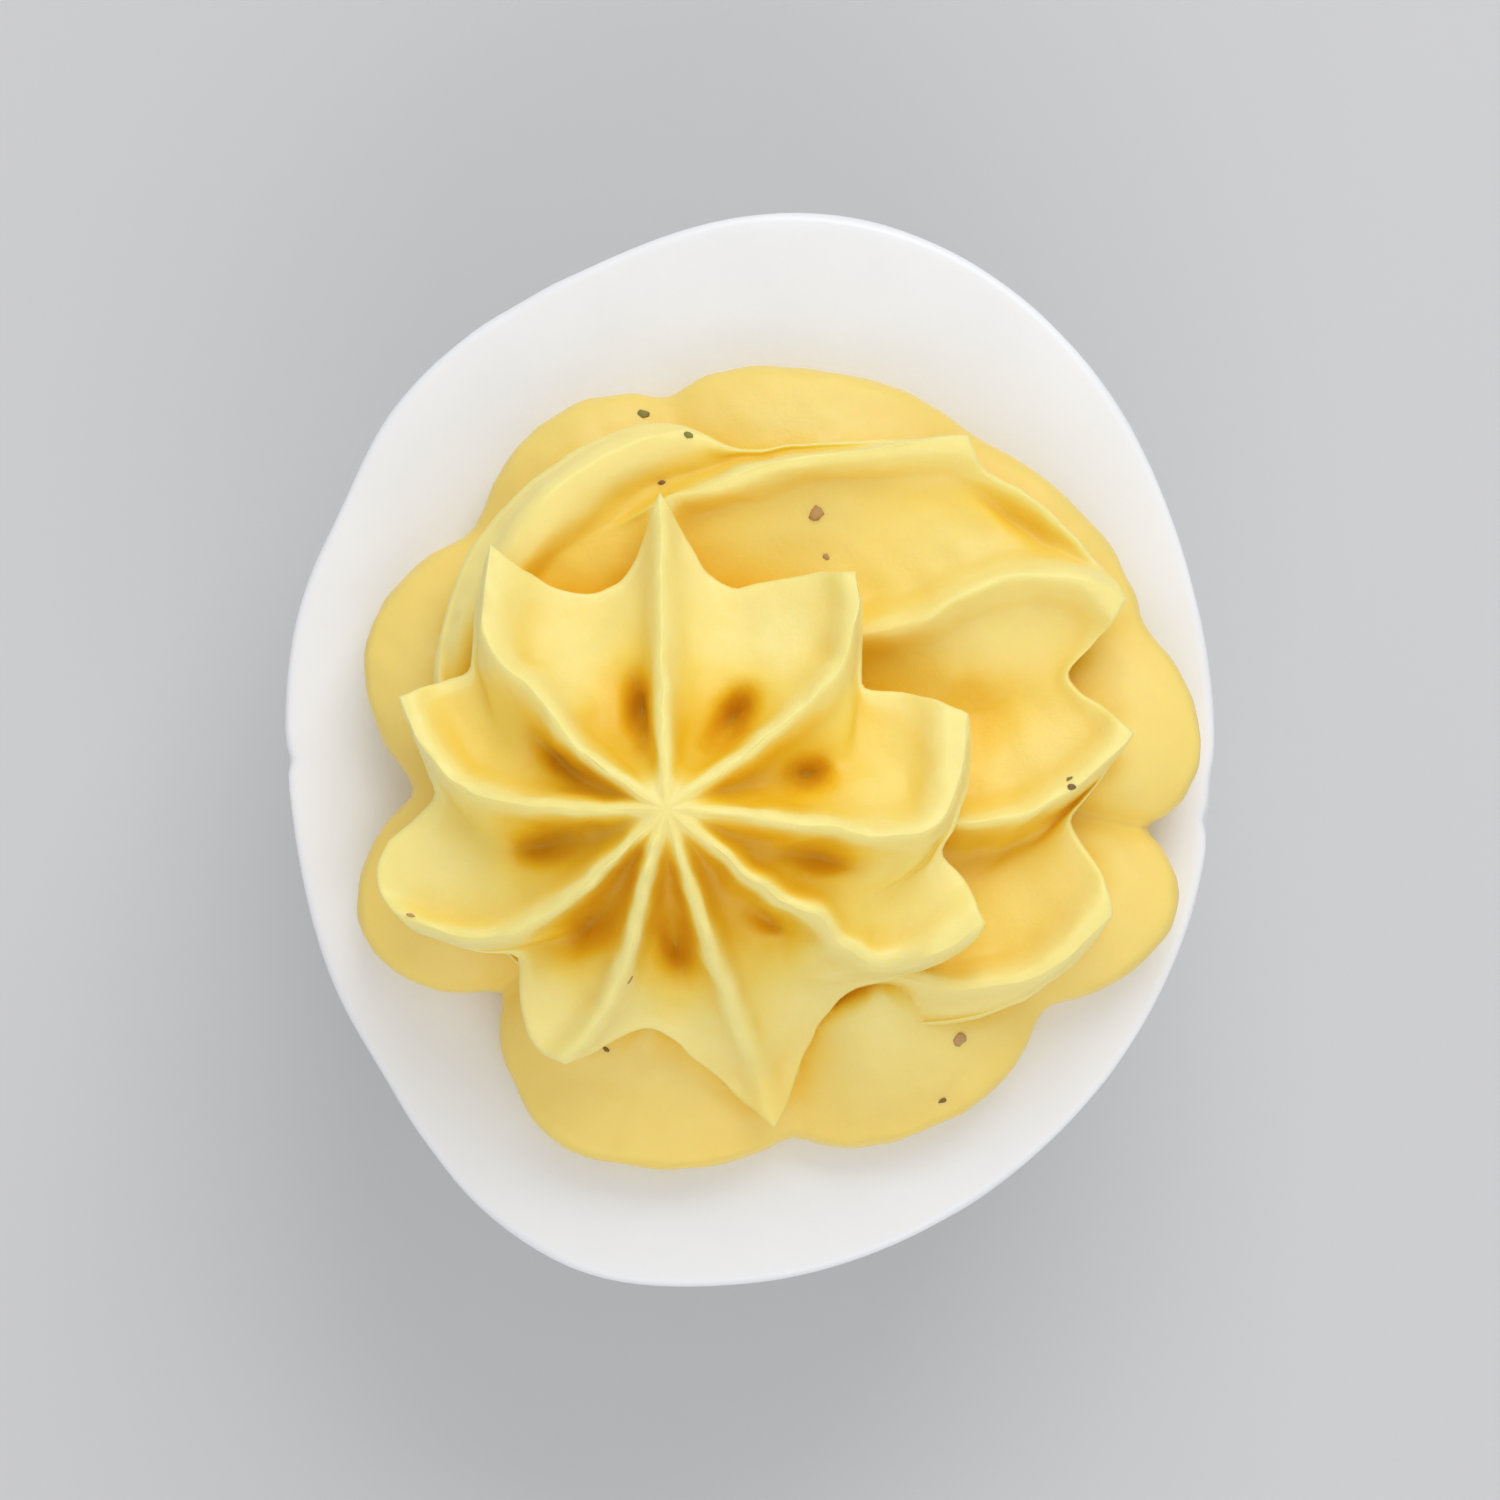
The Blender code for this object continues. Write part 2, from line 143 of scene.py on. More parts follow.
class Value:
    def __init__(self, tree, socket):
        self.tree = tree
        self.socket = socket

    def maths(self, operation, other=0.0, swap=False, clamp=False):
        node = self.tree.nodes.new("ShaderNodeMath")
        node.operation = operation
        node.use_clamp = clamp
        for slot, item in zip(node.inputs, (other, self) if swap else (self, other)):
            if isinstance(item, Value):
                self.tree.links.new(item.socket, slot)
            else:
                slot.default_value = item
        return Value(self.tree, node.outputs[0])

    def __add__(self, other):
        return self.maths("ADD", other)

    def __radd__(self, other):
        return self.maths("ADD", other, swap=True)

    def __sub__(self, other):
        return self.maths("SUBTRACT", other)

    def __rsub__(self, other):
        return self.maths("SUBTRACT", other, swap=True)

    def __mul__(self, other):
        return self.maths("MULTIPLY", other)

    def __rmul__(self, other):
        return self.maths("MULTIPLY", other, swap=True)

    def clamped(self):
        return self.maths("ADD", 0.0, clamp=True)


class Finish:  # one material and its nodes
    def __init__(self, name):
        self.material = bpy.data.materials.new(name)
        self.material.use_nodes = True
        self.tree = self.material.node_tree
        self.shader = self.tree.nodes["Principled BSDF"]

    def node(self, kind, settings=None, output=0, **sockets):
        made = self.tree.nodes.new("ShaderNode" + kind)
        for name, value in (settings or {}).items():
            if name == "stops":
                ramp = made.color_ramp
                while len(ramp.elements) < len(value):
                    ramp.elements.new(0.5)
                for element, (place, tone) in zip(ramp.elements, value):
                    element.position = place
                    element.color = (*tone, 1.0)
            else:
                setattr(made, name, value)
        for name, value in sockets.items():
            self.feed(made, name, value)
        return Value(self.tree, made.outputs[output])

    def feed(self, node, name, value):  # a socket goes by its name, or by its number as in s6
        slot = node.inputs[int(name[1:])] if name[1:].isdigit() else node.inputs[name.replace("_", " ")]
        if isinstance(value, Value):
            self.tree.links.new(value.socket, slot)
        else:
            slot.default_value = value

    def shade(self, **sockets):
        for name, value in sockets.items():
            self.feed(self.shader, name, value)

    def place(self):
        return self.node("TexCoord", output=3)

    def height(self):
        return self.node("SeparateXYZ", output=2, Vector=self.place())

    def grain(self, size, detail=3.0, seed=0.0):  # noise whose lumps are about this many mm across
        return self.node("TexNoise", {"noise_dimensions": "4D"}, Vector=self.place(),
                         W=seed, Scale=1 / (size * mm), Detail=detail, Roughness=0.55)

    def blend(self, share, first, second):
        return self.node("Mix", {"data_type": "RGBA"}, output=2, s0=share, s6=first, s7=second)


def colour(red, green, blue):  # screen colour, 0 to 255, to the renderer's
    shares = [part / 255 for part in (red, green, blue)]
    return tuple(s / 12.92 if s <= 0.04045 else ((s + 0.055) / 1.055) ** 2.4 for s in shares)


# egg white: half of a boiled egg, cut face up

whiteLook = {
    "length": 52.6, "width": 45.4, "lean": -8,  # mm, and degrees that the oval is turned
    "depth": 22.6,  # cut face to the round underside, before the flat spot is cut
    "waves": [(3, 0.18, 12), (4, 0.30, -24)],  # waves round the outline, height, degrees to a crest
    "bulges": [  # flatter and fuller parts of the outline: degrees, spread, height
        (108, 16, -0.6), (150, 10, -0.5), (223, 10, -0.5), (253, 10, 0.45), (308, 35, 0.55),
    ],
    "around": 192, "down": 40, "faceRings": 14, "bowlRings": 9,  # rows of faces each way
    "hollowCentre": (0.8, -0.6), "hollowRadius": 15.3, "hollowDepth": 13.5,
    "rimRound": 0.45,
    "cutWaves": [(0.10, 9, 1), (0.035, 2.4, 2)],  # unevenness of the cut face: height, size, seed
    "skinWaves": [(0.10, 7, 3), (0.03, 2.2, 4)],  # and of the skin
    "skinFrom": 0.4,  # mm up, so that the flat spot stays flat
    "chips": [  # degrees, mm across, mm in from the rim
        (-4, 1.6, 0.35), (-8.5, 1.2, 0.5), (181, 0.9, 0.3), (118, 2.2, 0.12), (232, 2.6, 0.1),
    ],
    "chipDown": 2.2, "chipIn": 1.6,  # how far a chip reaches down the side and in over the face
    "chipDrop": 0.35,  # how far the edge drops, as a share of how far it is broken in
    "crest": colour(247, 248, 251), "shade": colour(241, 242, 245),
}


def outlineRadius(angle):
    lean = angle - math.radians(whiteLook["lean"])
    halfWidth = whiteLook["width"] / 2
    halfLength = whiteLook["length"] / 2
    radius = 1 / math.hypot(math.cos(lean) / halfWidth, math.sin(lean) / halfLength)
    for waves, height, crest in whiteLook["waves"]:
        radius += height * math.cos(waves * (angle - math.radians(crest)))
    for direction, spread, height in whiteLook["bulges"]:
        radius += height * bell(turnFrom(direction, angle), spread)
    return radius


def outlineCentre():
    turns = [math.radians(step) for step in range(360)]
    across = [outlineRadius(turn) * math.cos(turn) for turn in turns]
    along = [outlineRadius(turn) * math.sin(turn) for turn in turns]
    return (min(across) + max(across)) / 2, (min(along) + max(along)) / 2


def selectNothing(obj, mode):
    mesh = bmesh.from_edit_mesh(obj.data)
    mesh.select_mode = {mode}
    for part in (mesh.faces, mesh.edges, mesh.verts):
        for item in part:
            item.select = False
    return mesh


def selectPoints(obj, test):
    mesh = selectNothing(obj, "VERT")
    for point in mesh.verts:
        point.select = test(point)
    mesh.select_flush(True)
    bmesh.update_edit_mesh(obj.data)


def selectRim(obj):  # the edges where the cut face meets the skin, and not those round the hollow
    mesh = selectNothing(obj, "EDGE")
    outside = (whiteLook["hollowRadius"] + 2.7) * mm
    for edge in mesh.edges:
        flat = all(abs(point.co.z - cutHeight) < 0.01 * mm for point in edge.verts)
        steep = [face for face in edge.link_faces if abs(face.normal.z) < 0.6]
        edge.select = flat and any(face.calc_center_median().xy.length > outside for face in steep)
    mesh.select_flush_mode()
    bmesh.update_edit_mesh(obj.data)


def extrudeRing(obj, placeFor):  # draws the selected ring out, and puts each point where its turn says
    bpy.ops.mesh.extrude_region_move()
    mesh = bmesh.from_edit_mesh(obj.data)
    turns = mesh.verts.layers.float["turn"]
    for point in mesh.verts:
        if point.select:
            point.co = placeFor(point[turns])
    bmesh.update_edit_mesh(obj.data)


def shapeEggWhite():
    look = whiteLook
    startFresh()
    bpy.ops.mesh.primitive_uv_sphere_add(segments=look["around"], ring_count=look["down"] * 2, radius=1.0)
    egg = bpy.context.object
    egg.name = egg.data.name = "eggWhite"
    centreX, centreY = outlineCentre()
    turns = egg.data.attributes.new("turn", "FLOAT", "POINT")
    for point in egg.data.vertices:  # the whole egg, with the outline's form all the way down
        angle = math.atan2(point.co.y, point.co.x)
        radius = outlineRadius(angle) * math.hypot(point.co.x, point.co.y)
        turns.data[point.index].value = angle
        point.co = (
            (radius * math.cos(angle) - centreX) * mm,
            (radius * math.sin(angle) - centreY) * mm,
            cutHeight + look["depth"] * point.co.z * mm,
        )
    bpy.ops.object.mode_set(mode="EDIT")
    selectPoints(egg, lambda point: point.co.z > cutHeight + 0.1 * mm)
    bpy.ops.mesh.delete(type="VERT")
    bpy.ops.mesh.select_all(action="SELECT")
    bpy.ops.mesh.bisect(plane_co=(0, 0, whiteLow.z), plane_no=(0, 0, 1), use_fill=True, clear_inner=True,
                        threshold=0.001 * mm)

    def rim(angle):
        radius = outlineRadius(angle)
        return Vector((radius * math.cos(angle) - centreX, radius * math.sin(angle) - centreY, 0))

    def mouth(angle):
        return Vector((look["hollowCentre"][0] + look["hollowRadius"] * math.cos(angle),
                       look["hollowCentre"][1] + look["hollowRadius"] * math.sin(angle), 0))

    top = Vector((0, 0, cutHeight))
    selectPoints(egg, lambda point: point.co.z > cutHeight - 0.01 * mm)
    for ring in range(1, look["faceRings"] + 1):
        share = ring / look["faceRings"]
        extrudeRing(egg, lambda angle: top + rim(angle).lerp(mouth(angle), share) * mm)
    middle = Vector((*look["hollowCentre"], 0))
    for ring in range(1, look["bowlRings"] + 1):
        turn = math.pi / 2 * ring / look["bowlRings"]
        deep = Vector((0, 0, -look["hollowDepth"] * math.sin(turn)))
        extrudeRing(egg, lambda angle: top + (middle.lerp(mouth(angle), math.cos(turn)) + deep) * mm)
    bpy.ops.mesh.merge(type="CENTER")
    bpy.ops.mesh.select_all(action="SELECT")
    bpy.ops.mesh.normals_make_consistent(inside=False)

    selectRim(egg)
    bpy.ops.mesh.bevel(offset=look["rimRound"] * mm, segments=4, profile=0.55)
    bpy.ops.object.mode_set(mode="OBJECT")
    return egg


def chippedAt(angle, away, height):  # how far the rim is broken in at this place, in mm
    rimShare = max(0.0, 1 - abs(height - cutLevel) / whiteLook["chipDown"])
    nearRim = max(0.0, 1 - abs(outlineRadius(angle) - away) / whiteLook["chipIn"])
    inwards = 0.0
    for direction, across, deep in whiteLook["chips"]:
        apart = math.radians(turnFrom(direction, angle)) * away
        inwards += deep * math.exp(-((apart / across * 1.6) ** 2)) * rimShare * nearRim
    return inwards


def ageEggWhite(egg):  # slight unevenness of the cut, dimples of the skin, chips on the rim
    look = whiteLook
    bottomOfHollow = cutLevel - look["hollowDepth"] - 0.6
    for point in egg.data.vertices:
        place = point.co / mm
        angle = math.atan2(place.y, place.x)
        away = math.hypot(place.x, place.y)
        outwards = Vector((math.cos(angle), math.sin(angle), 0))
        inwards = chippedAt(angle, away, place.z)
        inHollow = away <= look["hollowRadius"] + 0.7 and place.z >= bottomOfHollow
        if look["skinFrom"] < place.z < cutLevel - 0.3 and not inHollow:
            fade = min(1.0, (place.z - look["skinFrom"]) / 2)
            point.co += outwards * wobbles(place, look["skinWaves"]) * fade * mm
        rise = wobbles(place, look["cutWaves"]) if place.z > cutLevel - 0.05 else 0.0
        point.co -= outwards * inwards * mm
        point.co.z += (rise - look["chipDrop"] * inwards) * mm


def makeWhiteFinish():
    finish = Finish("Boiled egg white")
    patches = finish.grain(7.0, seed=2.0)
    fine = finish.grain(0.6, detail=4.0, seed=5.0)
    share = (patches * 1.6 - 0.4).clamped()  # slow clouding between the two whites
    tint = finish.blend(share, (*whiteLook["shade"], 1), (*whiteLook["crest"], 1))
    bump = finish.node("Bump", Strength=0.12, Distance=0.15 * mm, Height=fine)
    finish.shade(Base_Color=tint, Roughness=0.3 + fine * 0.14, Normal=bump,
                 Subsurface_Weight=0.2, Subsurface_Scale=1.2 * mm, Subsurface_Radius=(1.0, 1.0, 1.0),
                 Specular_IOR_Level=0.45, Coat_Weight=0.12, Coat_Roughness=0.22)
    return finish.material


eggWhite = shapeEggWhite()
ageEggWhite(eggWhite)
finishPiece(eggWhite, makeWhiteFinish(), sharpAngle=50)
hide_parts("egg_white")
print("egg white made")


# yolk filling: three stars of a nine-point nozzle, one on the other

# each star is a tier, the top one first, and its steps run from 0 in the middle to 1 at the rim: crest and
# depth are (step, mm) of how high its fins stand over the cut and how far its cups fall below them, and
# lip is (mm in, mm down) from the rim for each ring under it
# a fin's path goes from its root in even steps of (mm out, degrees) to its tip; the rim of the cup after
# it, counter-clockwise, is (degrees, mm out) as far as the next fin's tip; the cup is deepest at a share
# of the way to the next fin; a pit is (mm out, share of the way, depth, length, width)
fillingLook = {
    "columns": 20,  # points from one fin to the next
    "tiers": [
        {
            "centre": (-4.1, -2.8), "top": 17.3, "rootRadius": 0.7, "form": "fins", "rings": 36,
            "crest": [(0, 17.1), (0.12, 16.7), (0.5, 15.2), (1, 12.8)],
            "depth": [(0, 0.0), (0.07, 0.35), (0.16, 1.5), (0.28, 2.5), (0.45, 2.8), (0.65, 2.6),
                      (0.87, 2.4), (1, 2.0)],
            "lip": [(-0.08, 0.16), (-0.1, 0.42), (0.08, 0.8), (0.35, 2.0)],
            "stem": (8.0, 3.0),  # mm out and mm high where the underside ends, inside the tier below
            "mounds": [],
            "lumps": [  # knots and nicks along the crests: mm across and along, spread, rise
                (-4.9, -4.5, 0.5, 0.45), (-5.1, -5.5, 0.45, 0.4), (0.4, -6.2, 0.5, 0.4),
                (1.7, -7.1, 0.45, -0.3), (2.9, -7.9, 0.6, 0.45), (4.1, -9.2, 0.5, -0.35),
                (5.6, -10.0, 0.7, 0.4), (7.4, -10.3, 0.5, -0.35), (8.8, -9.9, 0.6, 0.4),
                (10.2, -9.0, 0.5, -0.3), (3.3, 2.5, 0.5, 0.35), (4.4, 4.3, 0.5, -0.3),
                (4.9, 6.0, 0.5, 0.35), (-12.2, 7.4, 0.5, 0.3), (-10.6, 4.2, 0.5, -0.25),
                (-8.2, 1.9, 0.6, 0.3), (-15.3, -1.2, 0.6, 0.3), (-11.6, -8.6, 0.6, 0.3),
                (-6.6, -9.6, 0.5, 0.3), (-2.0, -8.8, 0.5, 0.3),
            ],
            "fins": [
                {"root": -6, "path": [(4.2, -6), (7.9, -6), (11.6, -6), (13.6, 0), (15.3, 17)],
                 "rim": [(27, 12.4), (34, 10.4), (39, 11.4), (45, 12.8)], "deepest": 0.6, "scoop": 1.0,
                 "ragged": 0.15, "pit": (6.9, 0.48, 2.2, 1.0, 0.6)},
                {"root": 34, "path": [(4.0, 34), (7.5, 34), (11.0, 38), (14.5, 51)],
                 "rim": [(65, 12.0), (76, 11.1), (84, 12.6)], "deepest": 0.6, "scoop": 1.0,
                 "ragged": 0.22, "pit": (5.2, 0.36, 2.9, 1.3, 0.6)},
                {"root": 90, "path": [(7.7, 90), (15.0, 91)],
                 "rim": [(97, 12.0), (106, 10.9), (114, 11.4), (120, 13.2)], "deepest": 0.45, "scoop": 1.0,
                 "ragged": 0.1, "pit": (4.6, 0.24, 2.5, 1.4, 0.6)},
                {"root": 151, "path": [(4.2, 149), (7.9, 139.5), (11.5, 137), (15.3, 123.5)],
                 "rim": [(131, 13.5), (137, 11.6), (142, 11.0), (150, 12.3)], "deepest": 0.35, "scoop": 1.0,
                 "ragged": 0.15, "pit": (5.3, 0.26, 1.2, 1.4, 0.7)},
                {"root": 180, "path": [(5.0, 180), (9.5, 175), (13.8, 157.5)],
                 "rim": [(167, 12.1), (176, 10.8), (182, 11.8), (189, 13.9), (196, 14.5)], "deepest": 0.45,
                 "scoop": 1.0, "ragged": 0.15, "pit": (5.8, 0.4, 1.7, 1.4, 0.7)},
                {"root": 224, "path": [(4.9, 223), (9.4, 219), (13.8, 203)],
                 "rim": [(209, 13.0), (216, 10.9), (222, 9.5), (232, 11.5), (241, 13.2)], "deepest": 0.4,
                 "scoop": 1.0, "ragged": 0.2, "pit": (6.6, 0.5, 2.1, 1.3, 0.7)},
                {"root": 258, "path": [(4.6, 256), (9.0, 255), (13.4, 248.5)],
                 "rim": [(253, 12.4), (258, 11.2), (265, 10.5), (273, 11.4), (281, 13.4)], "deepest": 0.5,
                 "scoop": 1.2, "ragged": 0.2, "pit": (6.4, 0.58, 2.5, 1.3, 0.6)},
                {"root": 287, "path": [(8.4, 288), (16.4, 289)],
                 "rim": [(300, 13.6), (316, 12.4), (327, 14.2), (335, 15.9)], "deepest": 0.5, "scoop": 1.2,
                 "ragged": 0.1, "pit": (7.2, 0.72, 2.0, 1.1, 0.6)},
                {"root": 319, "path": [(4.4, 319.5), (8.3, 324), (12.2, 322), (16.2, 340)],
                 "rim": [(346, 14.8), (350, 13.4), (355, 12.9), (363, 14.2), (370, 15.0)], "deepest": 0.6,
                 "scoop": 0.95, "ragged": 0.5, "pit": (7.7, 0.62, 1.6, 1.3, 0.55)},
            ],
        },
        {
            "centre": (0.5, -0.5), "top": 7.2, "rootRadius": 8.4, "form": "fins", "rings": 30,
            "crest": [(0, 7.2), (0.25, 9.0), (0.5, 9.2), (1, 8.2)],
            "depth": [(0, 0.7), (0.3, 2.6), (0.6, 2.6), (0.9, 2.2), (1, 1.5)],
            "lip": [(-0.08, 0.16), (-0.14, 0.42), (-0.1, 0.8), (0.1, 2.0)],
            "stem": (10.5, 1.2), "mounds": [], "lumps": [],
            "fins": [
                {"root": -21, "path": [(7.6, -17.5), (10.4, -16), (12.8, -12), (15.4, -4.5), (18.0, 4.5)],
                 "rim": [(8, 17.0), (13, 15.5), (16, 15.5), (20, 17.6)], "deepest": 0.5, "scoop": 0.9,
                 "ragged": 0.2, "pit": (11.0, 0.5, 1.2, 2.5, 1.6)},
                {"root": 66,
                 "path": [(7.5, 53), (10.0, 42), (12.4, 39), (15.2, 35.5), (17.6, 30.5), (19.4, 24)],
                 "rim": [(32, 18.9), (44, 18.2), (53, 17.7)], "deepest": 0.3, "scoop": 0.9,
                 "ragged": 0.15, "pit": (17.2, 0.45, 0.8, 0.6, 3.6)},
                {"root": 126,
                 "path": [(10.6, 117), (13.1, 110), (13.3, 101), (14.2, 89), (15.8, 72), (18.6, 57.5)],
                 "rim": [(66, 17.0), (80, 15.4), (92, 14.7), (98, 15.4)], "deepest": 0.5, "scoop": 0.55,
                 "ragged": 0.15},
                {"root": 160, "path": [(13.6, 155), (15.4, 146), (16.3, 131), (16.6, 113), (16.4, 103)],
                 "rim": [(110, 17.2), (124, 17.4), (140, 16.9), (152, 16.2)], "deepest": 0.5, "scoop": 0.2,
                 "ragged": 0.1},
                {"root": 184, "path": [(14.2, 180), (15.0, 174), (15.8, 164)],
                 "rim": [(172, 15.0), (186, 15.0)], "deepest": 0.5, "scoop": 0.25, "ragged": 0.15},
                {"root": 214, "path": [(15.1, 209), (16.2, 201)],
                 "rim": [(210, 15.4), (220, 14.9)], "deepest": 0.5, "scoop": 0.5, "ragged": 0.15},
                {"root": 242, "path": [(13.8, 240), (14.6, 236)],
                 "rim": [(244, 13.9), (256, 12.8)], "deepest": 0.5, "scoop": 0.4, "ragged": 0.1},
                {"root": 264, "path": [(11.7, 266), (12.4, 268)],
                 "rim": [(280, 11.6), (290, 11.6), (304, 13.4), (313, 15.6), (320, 17.3), (328, 18.2)],
                 "deepest": 0.4, "scoop": 0.4, "ragged": 0.1},
                {"root": 286,
                 "path": [(10.0, 288), (11.1, 293), (12.9, 304), (15.1, 313), (17.2, 323), (18.6, 336)],
                 "rim": [(340, 17.8), (344, 16.5), (348, 15.2), (353, 15.3), (358, 16.6)], "deepest": 0.6,
                 "scoop": 1.0, "ragged": 0.35, "pit": (12.5, 0.8, 0.8, 2.5, 1.4)},
            ],
        },
        {
            "centre": (1.5, -1.0), "top": 5.0, "rootRadius": 10.9, "form": "lobes", "rings": 18,
            "crest": [(0, 5.0), (0.3, 5.5), (0.7, 5.0), (1, 4.0)],
            "depth": [(0, 0.3), (0.5, 0.9), (1, 0.8)],
            "lip": [(-0.25, 0.2), (-0.42, 0.6), (-0.5, 1.1), (-0.45, 1.7), (-0.25, 2.3), (0.0, 2.7)],
            "stem": None, "mounds": [(291, 15, 3.0), (258, 14, 1.2)], "lumps": [],  # degrees, spread, rise
            "fins": [
                {"root": azimuth, "path": [(reach, azimuth)], "rim": [notch], "deepest": share,
                 "scoop": 1.0, "ragged": 0.1}
                for azimuth, reach, notch, share in [
                    (4, 20.2, (24, 18.6), 0.5), (40, 18.8, (56, 18.2), 0.45), (82, 19.2, (108, 18.4), 0.65),
                    (120, 20.0, (143, 18.0), 0.55), (160, 20.7, (182, 16.4), 0.55),
                    (201, 21.4, (219, 16.4), 0.42), (243, 20.6, (272, 17.4), 0.58),
                    (293, 18.4, (317, 16.2), 0.55), (338, 20.0, (350, 17.4), 0.5)]
            ],
        },
    ],
    "bowlForm": 2.0, "lobeForm": 0.7,  # how full a cup is in section, and a lobe in plan
    "bandWidth": 0.34,  # half width of the band along a fin's edge
    "bead": 0.28, "beadWidth": 0.3, "beadWobble": 0.5,  # rise, half width and unevenness of the bead on it
    "flankShare": 0.6, "flankWidth": 0.45,  # part of a cup's depth that falls close to its fins
    "nick": 1.5,  # how much the rims are nicked where a fin is ragged
    "ringStep": 0.06,  # each ring lies at least this far outside the one before it
    "pitFade": [(0.88, 1), (0.97, 0.2), (1, 0)],  # pits end before the rim
    "mound": [(0, 0), (0.2, 1), (0.5, 0.75), (1, 0)],  # how a mound rises and falls over the tier's steps
    "sags": [(287, 30, 0.62), (310, 20, 0.22), (225, 60, 0.16), (90, 12, 0.12)],  # degrees, spread, loss
    "sagRadius": 14.0, "sagFrom": 2.6,  # what is lower than this hasn't sunk
    "plug": [(15.3, 0.0), (14.6, 4.2), (12.4, 7.9), (9.0, 10.8), (4.7, 12.7)],  # mm out, mm down
    "plugEnd": 13.4,
    "swell": (0.28, 5.5), "ruffle": (0.10, 1.3),  # slow and quick unevenness of the paste: height, size
    # painted highlight: the first colour on the next line is the paste's yellow paled where light catches
    # crests, rims and the peak; the second is its own yellow
    "crestHighlightColour": colour(252, 234, 152), "scoopColour": colour(249, 219, 98),
    # painted shade: the colours on the next line deepen the yellow on the shaded bottom star, and to gold
    # in folds and pits hidden from the sky
    "lowShadeColour": colour(247, 204, 72), "foldShadeColour": colour(242, 198, 24), "pitShadeColour": colour(236, 182, 8),
    "highlightCrest": 0.34, "highlightRim": 0.45, "highlightPeak": 1.1,  # how far the painted highlight on crests, rims and the peak reaches, in mm
    "glow": (5.5, 2.7, 2.5),  # how far the painted gold shade round a pit reaches inwards, outwards and aside, in mm
    "glowStrength": 1.3,
    "rays": 48, "sky": 9.0,  # looks that each point takes round itself to find how much shade to paint into its colour, and how far, in mm
    "evenings": 4,  # times that what they find is evened out
}


def cupForm(toCrest, side, form):  # 0 at the fin and 1 where the cup is deepest
    return 1 - (1 - toCrest) ** (form * 0.5 / side)


def lobeForm(toCrest, form):
    return 1 - math.cos(toCrest * math.pi / 2) ** form


def rootOut(tier, rootCentre, azimuth):  # from a tier's centre out to the ring that its fins rise from
    turn = math.radians(azimuth)
    shiftX = tier["centre"][0] - rootCentre[0]
    shiftY = tier["centre"][1] - rootCentre[1]
    along = shiftX * math.cos(turn) + shiftY * math.sin(turn)
    return math.sqrt(along**2 + tier["rootRadius"] ** 2 - shiftX**2 - shiftY**2) - along


# azimuth and radius of a fin's crest at this step, and its slant: 1 where it runs straight out, and less
# where it runs round
def finAt(tier, rootCentre, number, step):
    fin = tier["fins"][number]
    path = [(rootOut(tier, rootCentre, fin["root"]), fin["root"]), *fin["path"]]
    outs = [(place / (len(path) - 1), point[0]) for place, point in enumerate(path)]
    turns = [(place / (len(path) - 1), point[1]) for place, point in enumerate(path)]
    azimuth, radius = flow(turns, step), flow(outs, step)
    before, after = max(0.0, step - 0.04), min(1.0, step + 0.04)  # to see which way it runs
    outwards = flow(outs, after) - flow(outs, before)
    sideways = math.radians(flow(turns, after) - flow(turns, before)) * radius
    slant = max(0.3, outwards / math.hypot(outwards, sideways))
    sway = fin["ragged"] * wobble((radius, number * 7.7, tier["rootRadius"]), 1.5, 21) * min(1.0, step * 3)
    return azimuth + math.degrees(sway / radius), radius, slant


def sagged(x, y, height):  # the height once the paste has sunk under its own weight
    base = fillingLook["sagFrom"]
    if height <= base:
        return height
    across = x - fillingLook["tiers"][0]["centre"][0]
    along = y - fillingLook["tiers"][0]["centre"][1]
    outwards = min(1.0, math.hypot(across, along) / fillingLook["sagRadius"])
    kept = 1.0
    for direction, spread, loss in fillingLook["sags"]:
        kept -= loss * outwards**2 * bell(turnFrom(direction, math.atan2(along, across)), spread)
    return base + (height - base) * kept


def nearPit(fin, share, span, radius, length, width):  # 1 in the middle of the pit, and fading to 0
    along = (radius - fin["pit"][0]) / length
    aside = (share - fin["pit"][1]) * span * radius / width
    return math.exp(-(along**2) - aside**2)


def pitDepth(fin, share, span, radius, step, flank):  # mm below the cup's own form
    if "pit" not in fin:
        return 0.0
    deep, length, width = fin["pit"][2:]
    fade = flow(fillingLook["pitFade"], step)
    return deep * flank * nearPit(fin, share, span, radius, length, width) * fade


def paintedLightAt(tier, fin, share, span, radius, step, fromCrest):  # painted light: a painted highlight, high on the edges, and painted gold shade, below 0 round the pits
    look = fillingLook
    pale = bell(fromCrest, look["highlightCrest"])
    if tier["form"] == "fins":
        pale = max(pale, bell((1 - step) * radius, look["highlightRim"]), bell(radius, look["highlightPeak"]))
    if "pit" in fin:
        # painted shade: gold round each pit, where the paste lies hidden in the cup
        inwards, outwards, aside = look["glow"]
        reach = inwards if radius < fin["pit"][0] else outwards
        pitShade = look["glowStrength"] * min(1.0, fin["pit"][2] / 2) * (1 - pale)
        pale -= pitShade * nearPit(fin, share, span, radius, reach, aside)
    return pale


